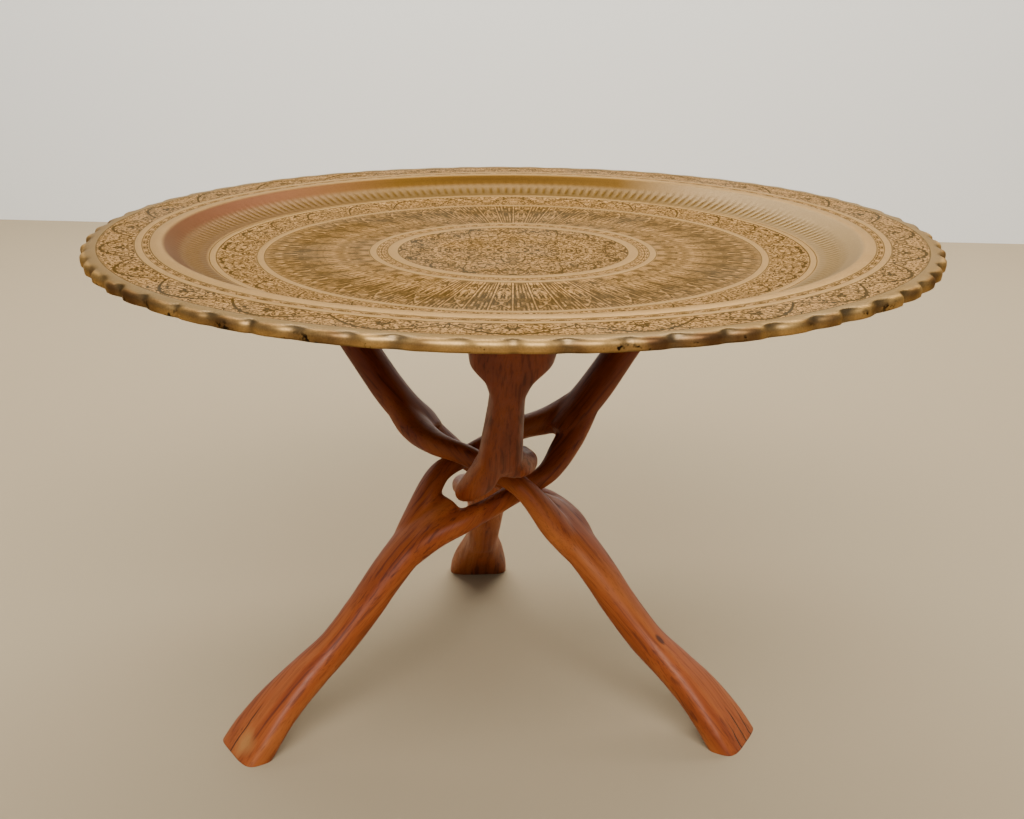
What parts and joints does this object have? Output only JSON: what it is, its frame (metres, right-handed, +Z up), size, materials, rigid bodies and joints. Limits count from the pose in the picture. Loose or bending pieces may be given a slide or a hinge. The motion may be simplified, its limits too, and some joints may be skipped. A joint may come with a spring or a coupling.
{
  "type": "brass tray table",
  "caption": "Low round table: a wide brass tray with a crimped edge, loose on a folding tripod of interlocked carved wooden legs.",
  "frame": {"origin": "on the floor, under the centre of the tray", "axes": "+Z up; the rear foot stands towards +Y and the table is seen from -Y in front view, with +X to the right"},
  "size_m": [0.864, 0.8628, 0.5178],
  "materials": {
    "tray_brass": "aged and engraved, dark in the lines, worn bright on the ridges",
    "leg_wood": "carved reddish hardwood, oiled to a satin gloss"
  },
  "bodies": {
    "rear_leg": {"rear_leg": "leg_wood"},
    "left_leg": {"left_leg": "leg_wood"},
    "right_leg": {"right_leg": "leg_wood"},
    "tray": {"tray": "tray_brass"}
  },
  "joints": [
    {"name": "left_leg_fold", "type": "hinge", "parent": "rear_leg", "child": "left_leg", "pos_m": [-0.02006, 0, 0.248], "axis": [0.8847, -0.4469, -0.1328], "range_deg": [0, 51.8]},
    {"name": "right_leg_fold", "type": "hinge", "parent": "rear_leg", "child": "right_leg", "pos_m": [-0.02006, 0, 0.248], "axis": [0.8294, 0.5427, 0.1328], "range_deg": [0, 51.8]},
    {"name": "tray_lift", "type": "slide", "parent": "rear_leg", "child": "tray", "axis": [0, 0, 1], "range_m": [0, 0.28]}
  ],
  "couplings": [
    {"joint": "right_leg_fold", "follows": "left_leg_fold", "ratio": 1},
    {"joint": "tray_lift", "follows": "left_leg_fold", "m_per_rad": 0.3}
  ]
}
